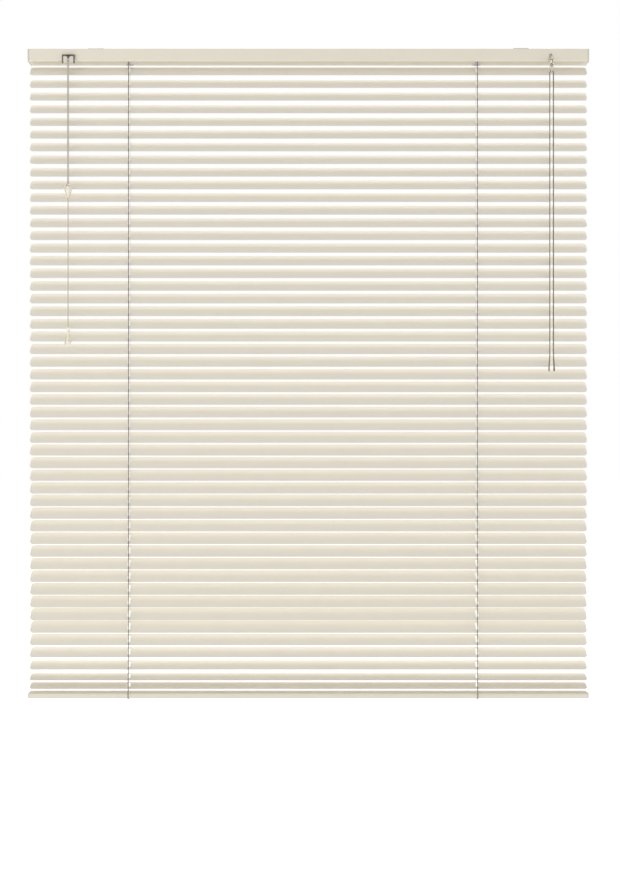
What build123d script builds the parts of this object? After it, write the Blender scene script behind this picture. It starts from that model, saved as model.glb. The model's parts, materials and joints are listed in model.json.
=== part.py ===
from build123d import *
import os
from math import asin, cos, radians, sin, sqrt

# A 25 mm aluminium venetian blind, in millimetres.
# Origin: middle of the two brackets' top faces. X to the right, Y into the window, Z up.

# Head rail, an open-topped channel with inward lips
RAIL_LENGTH = 950.0
RAIL_DEPTH = 25.0
RAIL_HEIGHT = 21.5
RAIL_WALL = 0.6
RAIL_CORNER = 1.6
RAIL_LIP = 4.0
END_CAP = 3.0
CAP_PLUG = 8.0
PLUG_FIT = 0.15

# Top-fix brackets that clip under the lips
BRACKET_INSET = 115.0
BRACKET_LENGTH = 26.0
BRACKET_WIDTH = 23.0
BRACKET_PLATE = 1.2
BRACKET_LEG = 1.2
BRACKET_HOOK = 2.4
SCREW_HOLE = 4.5

# Slats
SLAT_END_GAP = 2.0
SLAT_WIDTH = 25.0
SLAT_GAUGE = 0.3
SLAT_CROWN = 2.0
SLAT_CORNER = 5.0
SLAT_PITCH = 21.5
FIRST_SLAT_DROP = 11.3
REST_TILT = 47.5
TILTING_SLATS = 41
ROUTE_LENGTH = 14.0
ROUTE_WIDTH = 4.5
LOWER_TILTS = (REST_TILT, REST_TILT, REST_TILT, REST_TILT, 42.0, 35.0, 29.0, 20.0, 17.0)
STACK_PITCHES = (19.8, 14.8)
LADDER_BEND_SLATS = (3, 5, 7, 8)

# Ladders and lift cords
LADDER_LEFT_INSET = 170.0
LADDER_RIGHT_INSET = 188.5
STRING_DIAMETER = 1.0
STRING_GAP = 0.5
STRING_END_GAP = 3.0
STRING_BEND = 3.0
CORD_DIAMETER = 1.4
CORD_GAP = 0.3
CORD_TURN = 3.0
CORD_SIDESTEP = 4.0
CORD_RUN_HEIGHT = 2.0

# Tilt rod with its drums and their cradles
ROD_SIDE = 4.0
ROD_DROP = 9.4
ROD_OVERHANG = 14.0
BORE_FIT = 0.1
DRUM_RADIUS = 7.2
DRUM_LENGTH = 12.0
JOURNAL_RADIUS = 4.0
JOURNAL_LENGTH = 3.0
JOURNAL_FIT = 0.08
CRADLE_FLOOR = 1.2
CRADLE_STRIP = 12.0
CRADLE_WALL = 2.0
CRADLE_RISE = 2.0
CRADLE_CORD_HOLE = 7.0
CORD_WINDOW = 9.0
CORD_WINDOW_HEIGHT = 3.4

# Tilter: worm wheel on the rod, worm on a slanted stem, housing round both
TILTER_INSET = 65.0
TILTER_LENGTH = 20.0
TILTER_REAR = 8.0
TILTER_HEADROOM = 1.2
WHEEL_RADIUS = 4.4
WHEEL_WIDTH = 7.0
WHEEL_TEETH = 14
TOOTH_DEPTH = 0.7
TOOTH_GAP = 0.9
WORM_RADIUS = 2.0
WORM_REACH = 3.0
WORM_GAP = 0.4
STEM_ANGLE = 45.0
STEM_RADIUS = 1.6
STEM_BORE = 2.6
STEM_NECK_RADIUS = 0.7
STEM_NECK_LENGTH = 3.0
BALL_RADIUS = 2.4

# Wand and the coupler that hangs it on the stem's ball
WAND_AXIS_Y = -19.2
COUPLER_RADIUS = 3.6
COUPLER_RIM = 1.0
COUPLER_LENGTH = 22.0
BALL_FIT = 0.1
WAND_LENGTH = 505.0
WAND_RADIUS = 4.2
WAND_EDGE = 0.8
WAND_FLARE_RADIUS = 6.0
WAND_FLARE_LENGTH = 27.0
WAND_FOOT = 5.0
WAND_PIN_RADIUS = 1.2
WAND_PIN_FIT = 0.1
WAND_HEAD_RADIUS = 1.9
WAND_HEAD_HEIGHT = 2.4
WAND_SEAT = 0.3
COUPLER_LEDGE = 12.0

# Cord lock in a notch of the rail's front lower edge
LOCK_INSET = 70.0
LOCK_WIDTH = 23.0
LOCK_CHEEK = 2.0
LOCK_REAR = 9.0
LOCK_TOP_DROP = 7.0
LOCK_LID = 1.4
LOCK_GAP = 0.6
NOTCH_HEIGHT = 11.5
NOTCH_DEPTH = 4.5
OUTLET_BAR_RADIUS = 2.6
TAIL_CLEARANCE = 0.6
TAIL_SPACING = 2.0
ROLLER_RADIUS = 2.2
ROLLER_PIN_RADIUS = 1.0
ROLLER_SIDE_GAP = 0.5
ROLLER_Y = -5.0
ROLLER_TRAVEL = 2.0
ROLLER_RAMP = 45.0
ROLLER_PIN_FIT = 0.3

# Pull cord with its connector and tassel
TAIL_LENGTH = 210.0
CONNECTOR_LENGTH = 23.0
CONNECTOR_RADIUS = 6.4
CONNECTOR_SHOULDER = 7.0
CONNECTOR_TOP_RADIUS = 3.2
CONNECTOR_TIP_RADIUS = 1.8
PULL_LENGTH = 217.0
TASSEL_LENGTH = 30.0
TASSEL_TOP_RADIUS = 2.4
TASSEL_WAIST = 18.0
TASSEL_WAIST_RADIUS = 4.6
TASSEL_RADIUS = 6.1

# Bottom rail
BOTTOM_RAIL_END_GAP = 0.5
BOTTOM_RAIL_DEPTH = 25.0
BOTTOM_RAIL_HEIGHT = 10.0
BOTTOM_RAIL_CORNER = 3.6
BOTTOM_RAIL_WALL = 0.7
BOTTOM_RAIL_DROP = 12.2
BOTTOM_CAP = 2.0
BOTTOM_CORD_HOLE = 5.0
BUTTON_RADIUS = 6.5
BUTTON_FLANGE = 1.2
BUTTON_STEM_RADIUS = 3.8
BUTTON_STEM_LENGTH = 5.0

# Lengths and places along the blind, measured in from the head rail's ends
rail_end = RAIL_LENGTH / 2
slat_length = RAIL_LENGTH - 2 * SLAT_END_GAP
bottom_rail_length = RAIL_LENGTH - 2 * BOTTOM_RAIL_END_GAP
bracket_places = (BRACKET_INSET - rail_end, rail_end - BRACKET_INSET)
left_ladder_x = LADDER_LEFT_INSET - rail_end
right_ladder_x = rail_end - LADDER_RIGHT_INSET
ladder_places = (left_ladder_x, right_ladder_x)
lock_x = LOCK_INSET - rail_end
tilter_x = rail_end - TILTER_INSET

# Heights and places worked out from the sizes above
rail_top = -BRACKET_PLATE
rail_bottom = rail_top - RAIL_HEIGHT
rail_middle = rail_top - RAIL_HEIGHT / 2
rail_floor = rail_bottom + RAIL_WALL
cradle_floor_top = rail_floor + CRADLE_FLOOR
cord_run_z = cradle_floor_top + CORD_RUN_HEIGHT
rail_flat_half = RAIL_DEPTH / 2 - RAIL_CORNER - PLUG_FIT
rod_z = rail_top - ROD_DROP
first_slat_z = rail_bottom - FIRST_SLAT_DROP

tilting_heights = [first_slat_z - SLAT_PITCH * row for row in range(TILTING_SLATS)]
lower_pitches = [SLAT_PITCH] * (len(LOWER_TILTS) - len(STACK_PITCHES)) + list(STACK_PITCHES)
lower_heights = []
for pitch in lower_pitches:
    slat_above = lower_heights[-1] if lower_heights else tilting_heights[-1]
    lower_heights.append(slat_above - pitch)

bottom_rail_top = lower_heights[-1] - BOTTOM_RAIL_DROP
bottom_rail_middle = bottom_rail_top - BOTTOM_RAIL_HEIGHT / 2
bottom_rail_bottom = bottom_rail_top - BOTTOM_RAIL_HEIGHT

crown_radius = (SLAT_WIDTH**2 / 4 + SLAT_CROWN**2) / (2 * SLAT_CROWN)
string_offset = STRING_GAP + STRING_DIAMETER / 2
drum_string_y = DRUM_RADIUS + CORD_GAP + STRING_DIAMETER / 2

# The stem leans forward and passes in front of the wheel at the worm's centre distance
stem_lean = radians(STEM_ANGLE)
stem_direction = Vector(0, -sin(stem_lean), -cos(stem_lean))
worm_distance = WHEEL_RADIUS + WORM_GAP + WORM_RADIUS
worm_centre = Vector(tilter_x, -cos(stem_lean) * worm_distance, rod_z + sin(stem_lean) * worm_distance)
ball_reach = (worm_centre.Y - WAND_AXIS_Y) / sin(stem_lean)
ball_centre = worm_centre + stem_direction * ball_reach
stem_plane = Plane(origin=worm_centre, x_dir=(1, 0, 0), z_dir=stem_direction)
wand_top = ball_centre.Z - COUPLER_LENGTH - WAND_SEAT

# Cords turn down over the lock's outlet bar, so far out that what hangs on them clears a level slat
tail_y = -(SLAT_WIDTH / 2 + TAIL_CLEARANCE + max(CONNECTOR_RADIUS, TASSEL_RADIUS))
outlet_turn = OUTLET_BAR_RADIUS + CORD_GAP + CORD_DIAMETER / 2
outlet_bar_y = tail_y + outlet_turn
outlet_bar_z = cord_run_z - outlet_turn
tail_top = outlet_bar_z
lock_inner = LOCK_WIDTH / 2 - LOCK_CHEEK
roller_z = cord_run_z + CORD_DIAMETER / 2 + CORD_GAP + ROLLER_RADIUS
lock_top = rail_top - LOCK_TOP_DROP
lock_front = RAIL_DEPTH / 2 - RAIL_WALL - PLUG_FIT
jaw_front = -outlet_bar_y
jaw_top = rail_bottom + NOTCH_HEIGHT - LOCK_GAP
ramp = radians(ROLLER_RAMP)

os.makedirs("parts", exist_ok=True)


def turned(across, up, tilt):
    """A point of a slat's section, turned with the slat: a positive tilt takes the front edge down."""
    angle = radians(tilt)
    return across * cos(angle) - up * sin(angle), across * sin(angle) + up * cos(angle)


def slat_edge(side, height, tilt):
    """The front (side -1) or rear (side +1) edge of a slat, as Y and Z."""
    edge_y, edge_z = turned(side * SLAT_WIDTH / 2, -SLAT_CROWN, tilt)
    return edge_y, height + edge_z


def make_slat(height, tilt):
    """One crowned slat, turned about the line through the top of its crown."""
    angle = radians(tilt)
    flat = Plane(origin=(0, 0, height), x_dir=(1, 0, 0), z_dir=(0, -sin(angle), cos(angle)))
    section = Plane(origin=(0, 0, height), x_dir=(0, cos(angle), sin(angle)), z_dir=(1, 0, 0))
    outer = crown_radius + SLAT_GAUGE / 2
    inner = crown_radius - SLAT_GAUGE / 2
    spread = asin((SLAT_WIDTH / 2 + SLAT_CROWN) / crown_radius)
    with BuildPart() as slat:
        with BuildSketch(section):
            with BuildLine():
                top_front = (-outer * sin(spread), outer * cos(spread) - crown_radius)
                top_rear = (outer * sin(spread), outer * cos(spread) - crown_radius)
                under_front = (-inner * sin(spread), inner * cos(spread) - crown_radius)
                under_rear = (inner * sin(spread), inner * cos(spread) - crown_radius)
                ThreePointArc(top_front, (0, SLAT_GAUGE / 2), top_rear)
                Line(top_rear, under_rear)
                ThreePointArc(under_rear, (0, -SLAT_GAUGE / 2), under_front)
                Line(under_front, top_front)
            make_face()
        extrude(amount=slat_length / 2, both=True)
        with BuildSketch(flat):
            RectangleRounded(slat_length, SLAT_WIDTH, SLAT_CORNER)
        extrude(amount=2 * SLAT_CROWN, both=True, mode=Mode.INTERSECT)
        with BuildSketch(flat):
            with Locations(*[(place, 0) for place in ladder_places]):
                SlotOverall(ROUTE_LENGTH, ROUTE_WIDTH, rotation=90)
        extrude(amount=2 * SLAT_CROWN, both=True, mode=Mode.SUBTRACT)
    return slat.part


def make_tube(points, bends, diameter):
    """A cord along straight runs joined by tangent arcs."""
    with BuildPart() as tube:
        with BuildLine() as route:
            if bends:
                FilletPolyline(*points, radius=bends)
            else:
                Polyline(*points)
        with BuildSketch(Plane(origin=route.line @ 0, z_dir=route.line % 0)):
            Circle(diameter / 2)
        sweep(path=route.line)
    return tube.part


# Head rail: rolled channel with ladder holes, a lock notch and a stem hole
with BuildPart() as head_rail:
    with BuildSketch(Plane.YZ):
        with Locations((0, rail_middle)):
            RectangleRounded(RAIL_DEPTH, RAIL_HEIGHT, RAIL_CORNER)
            RectangleRounded(
                RAIL_DEPTH - 2 * RAIL_WALL,
                RAIL_HEIGHT - 2 * RAIL_WALL,
                RAIL_CORNER - RAIL_WALL,
                mode=Mode.SUBTRACT,
            )
        with Locations((0, rail_top)):
            Rectangle(RAIL_DEPTH - 2 * RAIL_LIP, 4 * RAIL_WALL, mode=Mode.SUBTRACT)
    extrude(amount=rail_end - END_CAP, both=True)
    with BuildSketch(Plane.XY.offset(rail_bottom)):
        with Locations(*[(place, 0) for place in ladder_places]):
            Rectangle(DRUM_LENGTH, RAIL_DEPTH - 2 * RAIL_CORNER)
    extrude(amount=2 * RAIL_WALL, both=True, mode=Mode.SUBTRACT)
    notch_rear = NOTCH_DEPTH - RAIL_DEPTH / 2
    with BuildSketch(Plane.XY.offset(rail_bottom - RAIL_WALL)):
        with Locations((lock_x, notch_rear)):
            Rectangle(LOCK_WIDTH + 2 * LOCK_GAP, RAIL_DEPTH, align=(Align.CENTER, Align.MAX))
    extrude(amount=NOTCH_HEIGHT + RAIL_WALL, mode=Mode.SUBTRACT)
    with BuildSketch(stem_plane):
        Circle(STEM_BORE)
    extrude(amount=ball_reach, mode=Mode.SUBTRACT)
head_rail.part.label = "head_rail"
export_step(head_rail.part, "parts/head_rail.step")

# End caps: a cover plate with a plug that fills the rail's mouth
with BuildPart() as rail_end_caps:
    for side in (-1, 1):
        with BuildSketch(Plane.YZ.offset(side * (rail_end - END_CAP))):
            with Locations((0, rail_middle)):
                RectangleRounded(RAIL_DEPTH, RAIL_HEIGHT, RAIL_CORNER)
        extrude(amount=side * END_CAP)
        with BuildSketch(Plane.YZ.offset(side * (rail_end - END_CAP))):
            with Locations((0, rail_middle)):
                RectangleRounded(
                    RAIL_DEPTH - 2 * (RAIL_WALL + PLUG_FIT),
                    RAIL_HEIGHT - 2 * (RAIL_WALL + PLUG_FIT),
                    RAIL_CORNER - RAIL_WALL,
                )
        extrude(amount=-side * CAP_PLUG)
rail_end_caps.part.label = "rail_end_caps"
export_step(rail_end_caps.part, "parts/rail_end_caps.step")

# Brackets: a screw plate on the rail with two hooked legs inside the lips
leg_y = RAIL_DEPTH / 2 - RAIL_LIP - PLUG_FIT - BRACKET_LEG / 2
hook_top = rail_top - RAIL_WALL - PLUG_FIT
leg_bottom = hook_top - BRACKET_LEG
with BuildPart() as mounting_brackets:
    for place in bracket_places:
        with BuildSketch(Plane.XY.offset(rail_top)):
            with Locations((place, 0)):
                RectangleRounded(BRACKET_LENGTH, BRACKET_WIDTH, BRACKET_LEG)
                Circle(SCREW_HOLE / 2, mode=Mode.SUBTRACT)
        extrude(amount=BRACKET_PLATE)
        for side in (-1, 1):
            with BuildSketch(Plane.XY.offset(leg_bottom)):
                with Locations((place, side * leg_y)):
                    Rectangle(BRACKET_LENGTH, BRACKET_LEG)
            extrude(amount=rail_top - leg_bottom)
            with BuildSketch(Plane.XY.offset(leg_bottom)):
                with Locations((place, side * (leg_y + BRACKET_HOOK / 2))):
                    Rectangle(BRACKET_LENGTH, BRACKET_HOOK)
            extrude(amount=hook_top - leg_bottom)
mounting_brackets.part.label = "mounting_brackets"
export_step(mounting_brackets.part, "parts/mounting_brackets.step")

# Drum cradles: a floor strip and two walls with open-topped journal seats and cord windows
cradle_wall_x = DRUM_LENGTH / 2 + JOURNAL_LENGTH / 2
with BuildPart() as drum_cradles:
    for place in ladder_places:
        with BuildSketch(Plane.XY.offset(rail_floor)):
            with Locations((place, 0)):
                Rectangle(2 * cradle_wall_x, CRADLE_STRIP)
                Circle(CRADLE_CORD_HOLE / 2, mode=Mode.SUBTRACT)
        extrude(amount=CRADLE_FLOOR)
        for side in (-1, 1):
            with BuildSketch(Plane.YZ.offset(place + side * cradle_wall_x)):
                with Locations((0, rail_floor)):
                    wall_height = rod_z + CRADLE_RISE - rail_floor
                    Rectangle(2 * rail_flat_half, wall_height, align=(Align.CENTER, Align.MIN))
                with Locations((0, rod_z)):
                    Circle(JOURNAL_RADIUS + JOURNAL_FIT, mode=Mode.SUBTRACT)
                    Rectangle(
                        2 * (JOURNAL_RADIUS + JOURNAL_FIT),
                        RAIL_HEIGHT,
                        align=(Align.CENTER, Align.MIN),
                        mode=Mode.SUBTRACT,
                    )
                with Locations((CORD_SIDESTEP / 2, cradle_floor_top)):
                    Rectangle(
                        CORD_WINDOW, CORD_WINDOW_HEIGHT, align=(Align.CENTER, Align.MIN), mode=Mode.SUBTRACT
                    )
            extrude(amount=CRADLE_WALL / 2, both=True)
drum_cradles.part.label = "drum_cradles"
export_step(drum_cradles.part, "parts/drum_cradles.step")

# Tilt rod, its two ladder drums and the worm wheel, each a solid of its own
rod_start = left_ladder_x - ROD_OVERHANG
rod_end = tilter_x + ROD_OVERHANG
with BuildPart() as tilt_shaft:
    with BuildSketch(Plane.YZ.offset(rod_start)):
        with Locations((0, rod_z)):
            Rectangle(ROD_SIDE, ROD_SIDE)
    extrude(amount=rod_end - rod_start)
    for place in ladder_places:
        journals_over_all = DRUM_LENGTH + 2 * JOURNAL_LENGTH
        for radius, length in ((DRUM_RADIUS, DRUM_LENGTH), (JOURNAL_RADIUS, journals_over_all)):
            with BuildSketch(Plane.YZ.offset(place)):
                with Locations((0, rod_z)):
                    Circle(radius)
                    Rectangle(ROD_SIDE + 2 * BORE_FIT, ROD_SIDE + 2 * BORE_FIT, mode=Mode.SUBTRACT)
            extrude(amount=length / 2, both=True)
    with BuildSketch(Plane.YZ.offset(tilter_x)):
        with Locations((0, rod_z)):
            Circle(WHEEL_RADIUS)
            Rectangle(ROD_SIDE + 2 * BORE_FIT, ROD_SIDE + 2 * BORE_FIT, mode=Mode.SUBTRACT)
            with PolarLocations(WHEEL_RADIUS, WHEEL_TEETH):
                Rectangle(2 * TOOTH_DEPTH, TOOTH_GAP, mode=Mode.SUBTRACT)
    extrude(amount=WHEEL_WIDTH / 2, both=True)
tilt_shaft.part.label = "tilt_shaft"
export_step(tilt_shaft.part, "parts/tilt_shaft.step")

# Tilter housing: a block with bores for the rod, the wheel and the slanted stem
with BuildPart() as tilter_housing:
    with BuildSketch(Plane.XY.offset(rail_floor)):
        with Locations((tilter_x, (TILTER_REAR - rail_flat_half) / 2)):
            Rectangle(TILTER_LENGTH, rail_flat_half + TILTER_REAR)
    extrude(amount=rail_top - TILTER_HEADROOM - rail_floor)
    with BuildSketch(Plane.YZ.offset(tilter_x)):
        with Locations((0, rod_z)):
            Circle(WHEEL_RADIUS + WORM_GAP)
    extrude(amount=WHEEL_WIDTH / 2 + WORM_GAP, both=True, mode=Mode.SUBTRACT)
    with BuildSketch(Plane.YZ.offset(tilter_x)):
        with Locations((0, rod_z)):
            Circle(ROD_SIDE / sqrt(2) + WORM_GAP)
    extrude(amount=TILTER_LENGTH, both=True, mode=Mode.SUBTRACT)
    with BuildSketch(stem_plane.offset(-WORM_REACH - WORM_GAP)):
        Circle(WORM_RADIUS + WORM_GAP)
    extrude(amount=WORM_REACH + WORM_GAP + ball_reach, mode=Mode.SUBTRACT)
tilter_housing.part.label = "tilter_housing"
export_step(tilter_housing.part, "parts/tilter_housing.step")

# Worm and stem in one piece, ending in a ball below the rail's front edge
neck_start = ball_reach - STEM_NECK_LENGTH
with BuildPart() as tilter_worm:
    with BuildSketch(stem_plane.offset(-WORM_REACH)):
        Circle(WORM_RADIUS)
    extrude(amount=2 * WORM_REACH)
    with BuildSketch(stem_plane):
        Circle(STEM_RADIUS)
    extrude(amount=neck_start)
    with BuildSketch(stem_plane):
        Circle(STEM_NECK_RADIUS)
    extrude(amount=ball_reach)
    with Locations(ball_centre):
        Sphere(BALL_RADIUS)
tilter_worm.part.label = "tilter_worm"
export_step(tilter_worm.part, "parts/tilter_worm.step")

# Wand coupler: a socket snapped over the ball, with a headed pin's chamber below
wand_plane = Plane(origin=ball_centre, x_dir=(1, 0, 0), z_dir=(0, -1, 0))
wand_axis = Axis(ball_centre, (0, 0, 1))
chamber_top = -COUPLER_LEDGE + WAND_HEAD_HEIGHT + 2 * WAND_SEAT
with BuildPart() as wand_coupler:
    with BuildSketch(wand_plane):
        with Locations((0, COUPLER_RIM)):
            Rectangle(COUPLER_RADIUS, COUPLER_LENGTH + COUPLER_RIM, align=(Align.MIN, Align.MAX))
        Circle(BALL_RADIUS + BALL_FIT, mode=Mode.SUBTRACT)
        with Locations((0, chamber_top)):
            Rectangle(
                WAND_HEAD_RADIUS + WAND_PIN_FIT,
                chamber_top + COUPLER_LEDGE,
                align=(Align.MIN, Align.MAX),
                mode=Mode.SUBTRACT,
            )
        with Locations((0, chamber_top)):
            Rectangle(
                WAND_PIN_RADIUS + WAND_PIN_FIT,
                COUPLER_LENGTH + chamber_top,
                align=(Align.MIN, Align.MAX),
                mode=Mode.SUBTRACT,
            )
    revolve(axis=wand_axis)
wand_coupler.part.label = "wand_coupler"
export_step(wand_coupler.part, "parts/wand_coupler.step")

# Wand: a six-sided clear rod with a flared grip and a headed pin
flare_top = wand_top - WAND_LENGTH + WAND_FLARE_LENGTH
head_bottom = ball_centre.Z - COUPLER_LEDGE + WAND_SEAT
with BuildPart() as wand:
    with BuildSketch(Plane.XY.offset(wand_top - WAND_LENGTH + WAND_FOOT)):
        with Locations((tilter_x, WAND_AXIS_Y)):
            RegularPolygon(WAND_RADIUS, 6)
        fillet(vertices(), WAND_EDGE)
    extrude(amount=WAND_LENGTH - WAND_FOOT)
    with BuildSketch(Plane(origin=(tilter_x, WAND_AXIS_Y, flare_top), x_dir=(1, 0, 0), z_dir=(0, -1, 0))):
        with BuildLine():
            foot_top = WAND_FOOT - WAND_FLARE_LENGTH
            Polyline(
                (0, 0),
                (WAND_RADIUS, 0),
                (WAND_FLARE_RADIUS, foot_top),
                (WAND_FLARE_RADIUS, -WAND_FLARE_LENGTH),
                (0, -WAND_FLARE_LENGTH),
                close=True,
            )
        make_face()
    revolve(axis=wand_axis)
    with BuildSketch(Plane.XY.offset(wand_top)):
        with Locations((tilter_x, WAND_AXIS_Y)):
            Circle(WAND_PIN_RADIUS)
    extrude(amount=head_bottom - wand_top)
    with BuildSketch(Plane.XY.offset(head_bottom)):
        with Locations((tilter_x, WAND_AXIS_Y)):
            Circle(WAND_HEAD_RADIUS)
    extrude(amount=WAND_HEAD_HEIGHT)
wand.part.label = "wand"
export_step(wand.part, "parts/wand.step")

# Cord lock: two cheeks, a lid and the fixed outlet bar that the cords bend over
with BuildPart() as cord_lock:
    for side in (-1, 1):
        with BuildSketch(Plane.YZ.offset(lock_x + side * (LOCK_WIDTH - LOCK_CHEEK) / 2)):
            with Locations((LOCK_REAR, rail_floor)):
                Rectangle(lock_front + LOCK_REAR, lock_top - rail_floor, align=(Align.MAX, Align.MIN))
            with Locations((0, rail_floor)):
                Rectangle(jaw_front, jaw_top - rail_floor, align=(Align.MAX, Align.MIN))
            with Locations((outlet_bar_y, outlet_bar_z)):
                Circle(OUTLET_BAR_RADIUS)
            slot_y = ROLLER_Y + sin(ramp) * ROLLER_TRAVEL / 2
            slot_z = roller_z + cos(ramp) * ROLLER_TRAVEL / 2
            with Locations((slot_y, slot_z)):
                SlotCenterToCenter(
                    ROLLER_TRAVEL,
                    2 * (ROLLER_PIN_RADIUS + ROLLER_PIN_FIT),
                    rotation=90 - ROLLER_RAMP,
                    mode=Mode.SUBTRACT,
                )
        extrude(amount=LOCK_CHEEK / 2, both=True)
    with BuildSketch(Plane.XY.offset(lock_top - LOCK_LID)):
        with Locations((lock_x, LOCK_REAR)):
            Rectangle(LOCK_WIDTH, lock_front + LOCK_REAR, align=(Align.CENTER, Align.MAX))
    extrude(amount=LOCK_LID)
    with BuildSketch(Plane.YZ.offset(lock_x)):
        with Locations((outlet_bar_y, outlet_bar_z)):
            Circle(OUTLET_BAR_RADIUS)
    extrude(amount=LOCK_WIDTH / 2, both=True)
    with BuildSketch(Plane.YZ.offset(lock_x)):
        with Locations((CORD_SIDESTEP / 2, cord_run_z)):
            Rectangle(CORD_WINDOW, CORD_WINDOW_HEIGHT)
    extrude(amount=LOCK_WIDTH, mode=Mode.SUBTRACT)
cord_lock.part.label = "cord_lock"
export_step(cord_lock.part, "parts/cord_lock.step")

# Locking roller, riding on pins in the cheeks' slanted slots
with BuildPart() as lock_roller:
    with BuildSketch(Plane.YZ.offset(lock_x)):
        with Locations((ROLLER_Y, roller_z)):
            Circle(ROLLER_RADIUS)
    extrude(amount=lock_inner - ROLLER_SIDE_GAP, both=True)
    with BuildSketch(Plane.YZ.offset(lock_x)):
        with Locations((ROLLER_Y, roller_z)):
            Circle(ROLLER_PIN_RADIUS)
    extrude(amount=LOCK_WIDTH / 2, both=True)
lock_roller.part.label = "lock_roller"
export_step(lock_roller.part, "parts/lock_roller.step")

# Tilting slats, each a node of its own
for row, height in enumerate(tilting_heights):
    slat = make_slat(height, REST_TILT)
    slat.label = f"slat_{row + 1:02d}"
    export_step(slat, f"parts/{slat.label}.step")

# The lowest slats, flatter towards the level bottom rail
with BuildPart() as lower_slats:
    for height, tilt in zip(lower_heights, LOWER_TILTS):
        add(make_slat(height, tilt))
lower_slats.part.label = "lower_slats"
export_step(lower_slats.part, "parts/lower_slats.step")

# Ladder strings along the tilting slats' front and rear edges
for side, name in ((-1, "front_ladder_strings"), (1, "rear_ladder_strings")):
    edge_y, top_z = slat_edge(side, tilting_heights[0], REST_TILT)
    bottom_z = slat_edge(side, tilting_heights[-1], REST_TILT)[1] - STRING_GAP
    with BuildPart() as ladder_strings:
        with BuildSketch(Plane.XY.offset(bottom_z)):
            with Locations(*[(place, edge_y + side * string_offset) for place in ladder_places]):
                Circle(STRING_DIAMETER / 2)
        extrude(amount=top_z - bottom_z)
    ladder_strings.part.label = name
    export_step(ladder_strings.part, f"parts/{name}.step")

# Ladder ends: from the drums down to the first slat, and past the lowest slats to the bottom rail
with BuildPart() as ladder_ends:
    for side in (-1, 1):
        edge_y, edge_z = slat_edge(side, tilting_heights[0], REST_TILT)
        string_y = edge_y + side * string_offset
        top_points = [(side * drum_string_y, rod_z)]
        top_bends = []
        if side > 0:
            top_points.append((side * drum_string_y, cradle_floor_top))
            top_bends.append(STRING_BEND)
        top_points.append((string_y, edge_z + STRING_GAP))
        low_start = slat_edge(side, lower_heights[0], REST_TILT)[1] + STRING_GAP
        if side < 0:
            low_start = slat_edge(side, tilting_heights[-1], REST_TILT)[1] - STRING_END_GAP
        low_points = [(string_y, low_start)]
        for row in LADDER_BEND_SLATS:
            lower_y, lower_z = slat_edge(side, lower_heights[row], LOWER_TILTS[row])
            low_points.append((lower_y + side * string_offset, lower_z))
        rail_side = side * (BOTTOM_RAIL_DEPTH / 2 + string_offset)
        low_points += [(rail_side, bottom_rail_top), (rail_side, bottom_rail_middle)]
        low_bends = [STRING_BEND] * (len(low_points) - 2)
        for place in ladder_places:
            add(make_tube([(place, y, z) for y, z in top_points], top_bends, STRING_DIAMETER))
            add(make_tube([(place, y, z) for y, z in low_points], low_bends, STRING_DIAMETER))
ladder_ends.part.label = "ladder_ends"
export_step(ladder_ends.part, "parts/ladder_ends.step")

# Lift cords: from the bottom rail up through the slats, along the rail and over the outlet bar
button_top = bottom_rail_bottom + BUTTON_STEM_LENGTH
cord_foot = button_top + CORD_GAP
with BuildPart() as lift_cords:
    for place, sidestep, tail_side in ((left_ladder_x, 0, 1), (right_ladder_x, CORD_SIDESTEP, -1)):
        tail_x = lock_x + tail_side * TAIL_SPACING / 2
        points = [
            (place, 0, cord_foot),
            (place, 0, cord_run_z),
            (tail_x, sidestep, cord_run_z),
            (tail_x, tail_y, cord_run_z),
            (tail_x, tail_y, tail_top),
        ]
        bends = [CORD_TURN, CORD_TURN, outlet_turn]
        print("lift cord bend radii", bends)
        add(make_tube(points, bends, CORD_DIAMETER))
lift_cords.part.label = "lift_cords"
export_step(lift_cords.part, "parts/lift_cords.step")

# Free cords: two tails down to the connector and one pull cord down to the tassel
connector_top = tail_top - TAIL_LENGTH
connector_bottom = connector_top - CONNECTOR_LENGTH
tassel_top = connector_bottom - PULL_LENGTH
with BuildPart() as pull_cords:
    with BuildSketch(Plane.XY.offset(connector_top)):
        with Locations(*[(lock_x + side * TAIL_SPACING / 2, tail_y) for side in (-1, 1)]):
            Circle(CORD_DIAMETER / 2)
    extrude(amount=TAIL_LENGTH)
    with BuildSketch(Plane.XY.offset(tassel_top)):
        with Locations((lock_x, tail_y)):
            Circle(CORD_DIAMETER / 2)
    extrude(amount=PULL_LENGTH)
pull_cords.part.label = "pull_cords"
export_step(pull_cords.part, "parts/pull_cords.step")

# Connector and tassel, turned shapes on the pull cord
with BuildPart() as connector_and_tassel:
    with BuildSketch(Plane(origin=(lock_x, tail_y, connector_top), x_dir=(1, 0, 0), z_dir=(0, -1, 0))):
        with BuildLine():
            top = Line((0, 0), (CONNECTOR_TOP_RADIUS, 0))
            shoulder = SagittaArc(top @ 1, (CONNECTOR_RADIUS, -CONNECTOR_SHOULDER), CONNECTOR_TIP_RADIUS / 2)
            taper = Line(shoulder @ 1, (CONNECTOR_TIP_RADIUS, -CONNECTOR_LENGTH))
            tip = Line(taper @ 1, (0, -CONNECTOR_LENGTH))
            Line(tip @ 1, top @ 0)
        make_face()
    revolve(axis=Axis((lock_x, tail_y, 0), (0, 0, 1)))
    with BuildSketch(Plane(origin=(lock_x, tail_y, tassel_top), x_dir=(1, 0, 0), z_dir=(0, -1, 0))):
        with BuildLine():
            top = Line((0, 0), (TASSEL_TOP_RADIUS, 0))
            neck = Line(top @ 1, (TASSEL_WAIST_RADIUS, -TASSEL_WAIST))
            bell = TangentArc(neck @ 1, (TASSEL_RADIUS, -TASSEL_LENGTH), tangent=neck % 1)
            foot = Line(bell @ 1, (0, -TASSEL_LENGTH))
            Line(foot @ 1, top @ 0)
        make_face()
    revolve(axis=Axis((lock_x, tail_y, 0), (0, 0, 1)))
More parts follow.
